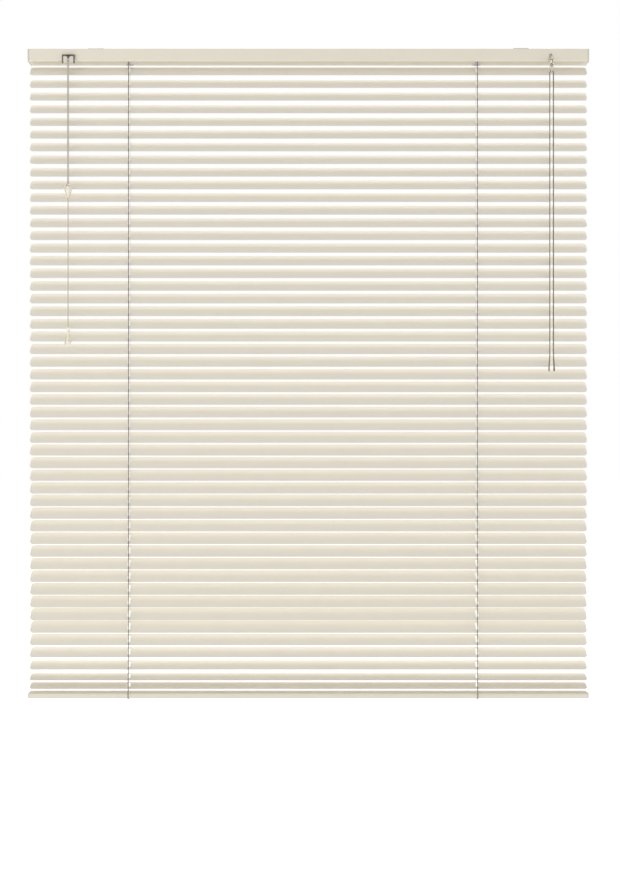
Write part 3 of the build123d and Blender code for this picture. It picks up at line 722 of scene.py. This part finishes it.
def every_slat(sizes):
    """Every slat's name, body, CAD node and placing, from the top down."""
    rows = []
    for body, height in zip(slat_bodies, slat_heights):
        rows.append((body, body, body, tilted(height, sizes.rest_tilt)))
    for number, (height, tilt) in enumerate(lower_rows(sizes), len(slat_bodies) + 1):
        rows.append((f"slat_{number}", FIXED, "lower_slats", tilted(height, tilt)))
    return rows


def edge_point(side, height, tilt, sizes):
    """The front (side -1) or rear (side 1) edge of a slat, as Y and Z."""
    edge = tilted(height, tilt) @ Vector((0, side * sizes.slat_width / 2, -sizes.slat_crown))
    return edge.y, edge.z


def seen_directly(tree):
    """One for camera, glossy and transmission rays, which see the pale background; zero for the rest."""
    path = node(tree, "LightPath")
    total = path.outputs["Is Camera Ray"]
    for label in ("Is Glossy Ray", "Is Transmission Ray"):
        total = calculate(tree, "MAXIMUM", total, path.outputs[label])
    return total


class BLIND_OT_stage(bpy.types.Operator):
    """Set up the camera, the pale floor, the soft lamps and the world"""

    bl_idname = "blind.stage"
    bl_label = "Stage"

    floor_size = 40
    floor_colour = (0.9, 0.9, 0.89, 1)
    floor_roughness = 0.9
    floor_glow = 0.55

    # Each lamp's name, place, size and power
    lamps = (
        ("key_lamp", (-1.4, -2.6, -0.2), 2.2, 23.5),
        ("fill_lamp", (1.8, -2.4, -0.6), 2.2, 14.5),
        ("window_lamp", (0.2, 2.9, 5.6), 3.2, 315),
    )

    def execute(self, context):
        stage = context.scene.blind_stage
        context.scene.view_settings.view_transform = "Standard"
        self.add_camera(context.scene, stage)
        self.add_floor(stage)
        self.add_lamps()
        self.light_world(context.scene, stage)
        return {"FINISHED"}

    def add_camera(self, scene, stage):
        view = bpy.data.cameras.new("camera")
        view.lens = stage.camera_lens
        camera = new_object("camera", view)
        camera.location = (stage.camera_side, -stage.camera_distance, stage.camera_height)
        camera.rotation_euler = (pi / 2, 0, 0)
        scene.camera = camera

    def add_floor(self, stage):
        deselect()
        bpy.ops.mesh.primitive_plane_add(size=self.floor_size, location=(0, 0, stage.floor_height))
        floor = bpy.context.object
        floor.name = "floor"
        pale = bpy.data.materials.new("pale_floor")
        pale.use_nodes = True
        tree = pale.node_tree
        shader = tree.nodes["Principled BSDF"]
        shader.inputs["Base Color"].default_value = self.floor_colour
        shader.inputs["Roughness"].default_value = self.floor_roughness
        shader.inputs["Emission Color"].default_value = WHITE
        glow = calculate(tree, "MULTIPLY", seen_directly(tree), self.floor_glow)
        tree.links.new(glow, shader.inputs["Emission Strength"])
        floor.data.materials.append(pale)

    def add_lamps(self):
        target = (cad_low + cad_high) / 2
        for name, place, size, power in self.lamps:
            light = bpy.data.lights.new(name, "AREA")
            light.size = size
            light.energy = power
            lamp = new_object(name, light)
            lamp.location = place
            lamp.rotation_euler = (target - Vector(place)).to_track_quat("-Z", "Y").to_euler()
            in_the_room = place[1] < 0
            lamp.visible_glossy = in_the_room
            lamp.visible_transmission = in_the_room

    def light_world(self, scene, stage):
        world = bpy.data.worlds.new("studio")
        scene.world = world
        world.use_nodes = True
        tree = world.node_tree
        tree.nodes.clear()
        soft = node(tree, "Background")
        soft.inputs["Strength"].default_value = stage.world_light
        white = node(tree, "Background")
        for background in (soft, white):
            background.inputs["Color"].default_value = WHITE
        mixed = node(tree, "MixShader")
        tree.links.new(seen_directly(tree), mixed.inputs["Fac"])
        tree.links.new(soft.outputs[0], mixed.inputs[1])
        tree.links.new(white.outputs[0], mixed.inputs[2])
        result = node(tree, "OutputWorld")
        tree.links.new(mixed.outputs[0], result.inputs["Surface"])


class BLIND_OT_pull_cords(bpy.types.Operator):
    """Hang the two tails, the connector, the pull cord and the tassel from the cord lock"""

    bl_idname = "blind.pull_cords"
    bl_label = "Pull cords"

    # Outlines from the top: down the outside, and back up the hollow
    connector_outline = (
        (1.7, 0), (3.0, 0), (4.6, -2.2), (5.9, -5), (6.3, -7.5), (5.9, -10.5), (4.6, -15),
        (3.0, -19.5), (2.2, -22), (1.9, -23),
        (1.2, -23), (1.3, -21.6), (2.1, -19), (3.7, -14.6), (4.9, -10.4), (5.2, -7.5), (4.8, -5.5),
        (3.5, -3.4), (1.6, -2.2),
    )
    tassel_outline = (
        (1.3, 0), (2.4, 0), (2.7, -3), (3.4, -9), (4.4, -17), (5.2, -23), (5.9, -28.5), (6.1, -30),
        (5.2, -30), (4.9, -28), (4.1, -22), (3.2, -15), (2.2, -8), (1.5, -7.5),
    )

    def execute(self, context):
        sizes = context.scene.blind_sizes
        length = sizes.connector_length
        connector = self.stretched("cord_connector", ends_high.z, length, self.connector_outline)
        length = sizes.tassel_length
        tassel = self.stretched("tassel", ends_low.z + length, length, self.tassel_outline)
        for piece in (connector, tassel):
            hang(piece, FIXED, "clear_plastic", "milky_plastic", "connector_and_tassel")
            piece.visible_shadow = False
        for side, word in zip(SIDES, ("left", "right")):
            top = cord_place + Vector((side * sizes.tail_spacing / 2, 0, tail_top))
            self.hang_cord("cord_tail_" + word, top, sizes.tail_length, "connector", connector)
        top = cord_place + Vector((0, 0, ends_high.z - sizes.connector_length))
        self.hang_cord("pull_cord", top, sizes.pull_length, "fitting", tassel)
        return {"FINISHED"}

    def hang_cord(self, name, top, length, far_end, end_piece):
        """A free cord hanging plumb, with the piece at its lower end."""
        diameter = bpy.context.scene.blind_sizes.cord_diameter
        route = [top, top - Vector((0, 0, length / 2)), top - Vector((0, 0, length))]
        cord = strand(name, [route], diameter / 2)
        hang(cord, FIXED, "cord_yarn", "cord_yarn", "pull_cords")

    def stretched(self, name, top, length, outline):
        """A hollow turned piece, its outline stretched down from its top to its length."""
        drawn_length = -min(height for radius, height in outline) * MM
        return turned_piece(name, cord_place, top, outline, stretch=length / drawn_length)


class BLIND_OT_slats(bpy.types.Operator):
    """Model one crowned slat and put a copy in every row"""

    bl_idname = "blind.slats"
    bl_label = "Slats"

    def execute(self, context):
        sizes = context.scene.blind_sizes
        master = model_slat(sizes)
        for name, body, node_name, placing in every_slat(sizes):
            slat = copy_of(master, name + "_blade", placing)
            hang(slat, body, "cream_enamel", "slat_enamel", node_name)
        dismiss(master)
        return {"FINISHED"}


class BLIND_OT_ladders(bpy.types.Operator):
    """Run the ladder strings past the slats' edges and tie a rung under every slat"""

    bl_idname = "blind.ladders"
    bl_label = "Ladders"

    sway = 0.15 * MM
    front_top = -21.6 * MM
    rear_top = -3.0 * MM
    rear_inner_y = 10.35 * MM
    rung_stations = (-1.01, -0.7, -0.35, 0, 0.35, 0.7, 1.01)
    rung_knots = 1.25
    rung_steps = 2

    # The still strings below: their share of the thickness, and their way round the bottom rail
    still_share = 0.92
    overlap = 21 * MM
    edge_gap = 0.96 * MM
    rail_gap = 0.8 * MM
    tuck = 2.4 * MM
    end_depth = 6 * MM

    def execute(self, context):
        sizes = context.scene.blind_sizes
        for side, word, string_y in zip(SIDES, ("front", "rear"), string_depths):
            self.moving_strings(side, word, string_y, sizes)
            self.still_strings(side, word, string_y, sizes)
        self.rungs(sizes)
        return {"FINISHED"}

    def moving_strings(self, side, word, string_y, sizes):
        """The strings along the tilting slats' edges."""
        node_name = word + "_ladder_strings"
        routes = []
        for place in ladder_places:
            if side < 0:
                route = [(place, string_y, self.front_top)]
            else:
                route = [(place, self.rear_inner_y, height) for height in (self.rear_top, head_rail_foot)]
            for row, height in enumerate(slat_heights):
                edge_z = edge_point(side, height, sizes.rest_tilt, sizes)[1]
                sway = self.sway * (1 if row % 2 else -1)
                route.append((place + sway, string_y + side * self.sway, edge_z + sizes.slat_pitch / 2))
                route.append((place - sway, string_y - side * self.sway / 2, edge_z))
            routes.append(route)
        strings = as_mesh(strand(word + "_strings", routes, self.string_radius(side, sizes)))
        if side < 0:
            self.flatten(strings, string_y, sizes.string_depth / sizes.string_width)
        hang(strings, node_name, "ladder_yarn", self.yarn(side), node_name)

    def flatten(self, strings, string_y, share):
        """Press the strings flat from front to back, so that they pass the slots in the head rail."""
        strings.scale.y = share
        strings.location.y = string_y * (1 - share)
        pick(strings)
        bpy.ops.object.transform_apply(location=True, rotation=False, scale=True)

    def still_strings(self, side, word, string_y, sizes):
        """The strings along the lowest slats' edges, then round the bottom rail and in under it."""
        last_edge = edge_point(side, slat_heights[-1], sizes.rest_tilt, sizes)[1]
        start = last_edge + self.overlap if side < 0 else last_edge
        rail_face = side * (bottom_high.y - bottom_low.y) / 2
        rail_foot = bottom_high.z - sizes.bottom_height
        end_height = rail_foot - self.rail_gap / 2
        routes = []
        for place in ladder_places:
            route = [(place, string_y, start)]
            for height, tilt in lower_rows(sizes):
                edge_y, edge_z = edge_point(side, height, tilt, sizes)
                route.append((place, edge_y + side * self.edge_gap, edge_z))
            route += [
                (place, rail_face + side * self.rail_gap, bottom_high.z),
                (place, rail_face + side * self.rail_gap, rail_foot),
                (place, rail_face - side * self.tuck, end_height),
                (place, side * self.end_depth, end_height),
            ]
            routes.append(route)
        radius = self.still_share * self.string_radius(side, sizes)
        strings = as_mesh(strand(word + "_strings_below", routes, radius))
        hang(strings, FIXED, "ladder_yarn", self.yarn(side), "ladder_ends")

    def string_radius(self, side, sizes):
        return (sizes.string_width if side < 0 else sizes.rear_string) / 2

    def yarn(self, side):
        # The front strings take the painted-shade grey yarn, the rear strings the painted-light pale yarn
        return "ladder_yarn" if side < 0 else "window_lit_yarn"

    def rungs(self, sizes):
        """Two threads from string to string under every slat."""
        radius = sizes.thread_diameter / 2
        under = sizes.slat_gauge / 2 + radius
        half = sizes.slat_width / 2
        level = tilted(0, -sizes.rest_tilt)
        ends = []
        for side, string_y in zip(SIDES, string_depths):
            edge_z = edge_point(side, 0, sizes.rest_tilt, sizes)[1]
            ends.append(level @ Vector((0, string_y, edge_z)))
        routes = []
        for place in ladder_places:
            for side in SIDES:
                x = place + side * sizes.thread_spread
                route = [(place, ends[0].y, ends[0].z)]
                for share in self.rung_stations:
                    across = share * half
                    route.append((x, across, crown_height(across, sizes) - under))
                route.append((place, ends[1].y, ends[1].z))
                routes.append(route)
        thread = strand("rung_master", routes, radius, self.rung_knots)
        thread.data.resolution_u = self.rung_steps
        master = as_mesh(thread)
        for name, body, node_name, placing in every_slat(sizes):
            rung = copy_of(master, name + "_rungs", placing)
            # Painted light: the rungs take the paler yarn, standing in for light through the cord slots
            hang(rung, body, "ladder_yarn", "window_lit_yarn")
        dismiss(master)


class BLIND_OT_lift_cords(bpy.types.Operator):
    """Thread the lift cords up through the slats, along the head rail and out over the lock"""

    bl_idname = "blind.lift_cords"
    bl_label = "Lift cords"

    run_height = -18.9 * MM
    turn = 3.6 * MM
    lean = 1.2 * MM

    # The right cord runs behind the left one, and leaves the lock on its left
    run_depths = (0, 4 * MM)
    lock_sides = (1, -1)

    def execute(self, context):
        sizes = context.scene.blind_sizes
        foot = bottom_high.z - sizes.bottom_height / 2
        cords = zip(ladder_places, self.run_depths, self.lock_sides, ("left", "right"))
        for place, back, side, word in cords:
            x = cord_place.x + side * sizes.tail_spacing / 2
            run = self.run_height
            front = cord_place.y
            drop = place - side * self.lean
            route = [
                (drop, 0, foot), (drop, 0, run - 2 * self.turn), (place, 0, run),
                (place - 2 * self.turn, back / 4, run), ((place + x) / 2, back, run),
                (x + 2 * self.turn, back, run), (x, back, run), (x, back - 2 * self.turn, run),
                (x, front + 2 * self.turn, run), (x, front, run), (x, front, tail_top),
            ]
            cord = as_mesh(strand("lift_cord_" + word, [route], sizes.lift_diameter / 2))
            # Painted light: the lift cords take the paler yarn, as if lit from behind
            hang(cord, FIXED, "cord_yarn", "window_lit_yarn", "lift_cords")
        return {"FINISHED"}


class BLIND_OT_head_rail(bpy.types.Operator):
    """Finish the head rail, its caps, its brackets and the works inside it"""

    bl_idname = "blind.head_rail"
    bl_label = "Head rail"

    coats = {
        "head_rail": "rail_enamel",
        "rail_end_caps": "cap_plastic",
        "mounting_brackets": "bracket_steel",
        "drum_cradles": "part_plastic",
        "tilter_housing": "part_plastic",
        "tilter_worm": "cap_plastic",
    }
    drum_margin = 1 * MM

    def execute(self, context):
        for node_name, finish in self.coats.items():
            dress(node_name, finish)
        self.dress_shaft()
        return {"FINISHED"}

    def dress_shaft(self):
        """A steel rod with plastic drums over the ladders."""
        shaft = dress("tilt_shaft", "plated_steel")
        shaft.data.materials.append(finish_named("part_plastic"))
        cradle_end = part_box("drum_cradles")[1].x
        half_drum = cradle_end - ladder_places[1] + self.drum_margin
        for face in shaft.data.polygons:
            on_drum = any(abs(face.center.x - place) < half_drum for place in ladder_places)
            corners = [shaft.data.vertices[index].co.x for index in face.vertices]
            if on_drum and max(corners) - min(corners) < 2 * half_drum:
                face.material_index = 1


class BLIND_OT_cord_lock(bpy.types.Operator):
    """Frame the cord lock's window and set the pale tabs between which the cords leave"""

    bl_idname = "blind.cord_lock"
    bl_label = "Cord lock"

    outlet_turn = 3.6 * MM
    bezel_depth = 3.0 * MM
    bezel_leg = 2.3 * MM
    bezel_inset = 0.7 * MM
    bezel_height = 14.0 * MM
    bezel_drop = 4.4 * MM
    bezel_corner = 0.3 * MM
    bulge_width = 7.5 * MM
    bulge_drop = 1.8 * MM
    bulge_corner = 0.81 * MM
    tab_gap = 1.9 * MM
    tab_depth = 2.7 * MM
    tab_corner = 1.2 * MM
    tab_rows = ((0.2 * MM, 4.5 * MM), (5.3 * MM, 11.0 * MM))

    def execute(self, context):
        dress("cord_lock", "part_plastic")
        dress("lock_roller", "plated_steel")
        back = cord_place.y + self.outlet_turn
        foot = head_rail_foot - self.bezel_drop
        hang(self.model_bezel(back, foot), FIXED, "lock_plastic", "lock_plastic")
        hang(self.model_tabs(back, foot), FIXED, "white_plastic", "tab_plastic")
        return {"FINISHED"}

    def model_bezel(self, back, foot):
        """A three-sided frame on the cheeks' front edges, with a bulge in the middle of its top."""
        front = back - self.bezel_depth
        top = foot + self.bezel_height
        left, right = lock_low.x + self.bezel_inset, lock_high.x - self.bezel_inset
        leg = self.bezel_leg
        bulge = self.bulge_width / 2
        beam_foot = top - leg
        bars = (
            ((left, front, foot), (left + leg, back, top), self.bezel_corner),
            ((right - leg, front, foot), (right, back, top), self.bezel_corner),
            ((left + leg, front, beam_foot), (right - leg, back, top), self.bezel_corner),
            (
                (cord_place.x - bulge, front, beam_foot - self.bulge_drop),
                (cord_place.x + bulge, back, beam_foot + leg / 2),
                self.bulge_corner,
            ),
        )
        return joined_blocks("lock_bezel", bars, ALONG_Y)

    def model_tabs(self, back, foot):
        """Pale guides beside the cords, in two rows between the frame's legs."""
        reach = (lock_high.x - lock_low.x) / 2 - self.bezel_inset - self.bezel_leg
        tabs = []
        for side, (row_foot, row_top) in product(SIDES, self.tab_rows):
            near, far = sorted(cord_place.x + side * place for place in (self.tab_gap, reach))
            low = (near, back - self.tab_depth, foot + row_foot)
            high = (far, back, foot + row_top)
            tabs.append((low, high, self.tab_corner))
        return joined_blocks("lock_tabs", tabs, ALONG_Y)


class BLIND_OT_wand(bpy.types.Operator):
    """Hang the six-sided clear wand on its coupler and hook"""

    bl_idname = "blind.wand"
    bl_label = "Tilt wand"

    corner = 0.7 * MM
    chamfer = 0.4 * MM
    hook_radius = 0.5 * MM
    hook_reach = 3.9 * MM
    wand_sides = 6
    wand_corner_steps = 2
    pin_sides = 20
    pin_depth = 3 * MM
    hang_turn = radians(-17)

    # The wand's grip: heights above its lower end, and how far it has flared there
    flare_top = 27 * MM
    flare_middle = 20 * MM
    flare_share = 0.35
    grip_top = 7 * MM
    grip_taper = 0.1 * MM
    grip_foot = 4 * MM

    def execute(self, context):
        sizes = context.scene.blind_sizes
        top = wand_low.z + sizes.wand_length
        wand = hang(self.model_wand(top, sizes), "wand", "clear_acrylic", "wand_acrylic", "wand")
        hang(self.model_pin(top), "wand", "plated_steel", "plated_steel", "wand")
        coupler = self.model_coupler()
        hang(coupler, "wand_coupler", "clear_acrylic", "clear_acrylic", "wand_coupler")
        # The hook's dark colour is a painted reflection
        hang(self.model_hook(), "wand_coupler", "plated_steel", "painted_dark_hook")
        for clear in (wand, coupler):
            clear.visible_shadow = False
        return {"FINISHED"}

    def model_wand(self, top, sizes):
        bottom = wand_low.z
        straight = sizes.wand_radius
        flare = sizes.wand_flare
        swelling = straight + self.flare_share * (flare - straight)
        outline = (
            (straight - self.chamfer, top),
            (straight, top - self.chamfer),
            (straight, bottom + self.flare_top),
            (swelling, bottom + self.flare_middle),
            (flare - self.grip_taper, bottom + self.grip_top),
            (flare, bottom + self.grip_foot),
            (flare, bottom + self.chamfer),
            (flare - self.chamfer, bottom),
        )
        wand = begin(
            "clear_wand", bpy.ops.mesh.primitive_circle_add, vertices=self.wand_sides, radius=outline[0][0],
            fill_type="NGON", location=(wand_axis.x, wand_axis.y, top),
            rotation=(0, 0, pi / self.wand_sides + self.hang_turn),
        )
        bpy.ops.mesh.bevel(offset=self.corner, segments=self.wand_corner_steps, affect="VERTICES")
        bpy.ops.mesh.select_all(action="SELECT")
        draw_along(wand_axis, outline)
        return finish_mesh(wand)

    def model_pin(self, top):
        """A pin set into the wand's top, with a head that turns in the coupler."""
        shank = (1.0, (top - self.pin_depth - wand_high.z) / MM)
        drawn = (shank, (1.0, -2.4), (1.8, -2.2), (1.8, -0.5), (1.1, 0))
        return turned_piece("wand_pin", wand_axis, wand_high.z, drawn, sides=self.pin_sides)

    def model_coupler(self):
        outer = ((2.7, 1.0), (3.3, 0.9), (3.6, 0), (3.6, -16), (3.1, -19), (2.4, -21.6), (2.2, -22))
        inner = ((1.35, -22), (1.35, -12.05), (2.05, -12), (2.05, -8.9), (0.9, -8.4), (0.9, -4), (2.2, -1.6))
        return turned_piece("clear_coupler", ball, ball.z, outer + inner)

    def model_hook(self):
        """A wire crook on the coupler's front, with an eye at its lower end."""
        front = ball.y - self.hook_reach
        bends = (
            (-6.2, -6.2), (-5.8, -3.6), (-2.8, -2.4), (0.4, -3.2), (0.8, -6.6), (-0.2, -9.4), (-2.7, -11.0),
            (-1.6, -13.9), (0.9, -13.0), (0.9, -10.6), (-0.6, -10.2),
        )
        route = [(ball.x + x * MM, front, ball.z + z * MM) for x, z in bends]
        return as_mesh(strand("wand_hook", [route], self.hook_radius))


class BLIND_OT_bottom_rail(bpy.types.Operator):
    """Model the bottom rail's tube, end caps and buttons"""

    bl_idname = "blind.bottom_rail"
    bl_label = "Bottom rail"

    corner = 3.6 * MM
    cap_edge = 0.6 * MM
    cap_edge_steps = 3

    def execute(self, context):
        sizes = context.scene.blind_sizes
        foot = bottom_high.z - sizes.bottom_height
        end = bottom_high.x - sizes.bottom_cap
        low = (-end, bottom_low.y, foot)
        high = (end, bottom_high.y, bottom_high.z)
        tube = rounded_block("bottom_rail_tube", low, high, ALONG_X, self.corner)
        hang(finish_mesh(tube), FIXED, "cream_enamel", "rail_enamel", "bottom_rail")
        caps = join_as("bottom_rail_caps", [self.model_cap(side, end, foot, sizes) for side in SIDES])
        hang(caps, FIXED, "cream_plastic", "cap_plastic", "bottom_rail")
        buttons = join_as("bottom_rail_buttons", [self.model_button(place, foot) for place in ladder_places])
        hang(buttons, FIXED, "cream_plastic", "cap_plastic", "bottom_rail")
        return {"FINISHED"}

    def model_cap(self, side, end, foot, sizes):
        outer = side * (end + sizes.bottom_cap)
        left, right = sorted((side * end, outer))
        low = (left, bottom_low.y, foot)
        high = (right, bottom_high.y, bottom_high.z)
        cap = rounded_block("rail_cap", low, high, ALONG_X, self.corner)
        choose(cap, "FACE", lambda face: abs(face.calc_center_median().x - outer) < NEAR)
        bpy.ops.mesh.bevel(offset=self.cap_edge, segments=self.cap_edge_steps, affect="EDGES")
        return finish_mesh(cap)

    def model_button(self, place, foot):
        drawn = (
            (3.7, 1.0), (3.7, 0), (6.4, 0), (6.4, -0.6), (5.8, -1.2), (3.0, -1.3), (2.6, -0.9), (1.0, -0.9),
        )
        return turned_piece("rail_button", (place, 0), foot, drawn)


class BLIND_PT_panel(bpy.types.Panel):
    """Buttons for each group of the blind's pieces"""

    bl_idname = "BLIND_PT_panel"
    bl_label = "Venetian Blind"
    bl_space_type = "VIEW_3D"
    bl_region_type = "UI"
    bl_category = "Blind"

    def draw(self, context):
        for operator in piece_operators:
            self.layout.operator(operator.bl_idname)


piece_operators = (
    BLIND_OT_stage,
    BLIND_OT_pull_cords,
    BLIND_OT_slats,
    BLIND_OT_ladders,
    BLIND_OT_lift_cords,
    BLIND_OT_head_rail,
    BLIND_OT_cord_lock,
    BLIND_OT_wand,
    BLIND_OT_bottom_rail,
)
settings_groups = {"blind_sizes": BlindSizes, "blind_finishes": BlindFinishes, "blind_stage": BlindStage}


def register():
    for group in (*settings_groups.values(), *piece_operators, BLIND_PT_panel):
        bpy.utils.register_class(group)
    for name, group in settings_groups.items():
        setattr(bpy.types.Scene, name, PointerProperty(type=group))


def unregister():
    for name in settings_groups:
        delattr(bpy.types.Scene, name)
    for group in (BLIND_PT_panel, *piece_operators, *settings_groups.values()):
        bpy.utils.unregister_class(group)


def main():
    register()
    for operator in piece_operators:
        module, action = operator.bl_idname.split(".")
        getattr(getattr(bpy.ops, module), action)()


if __name__ == "__main__":
    main()
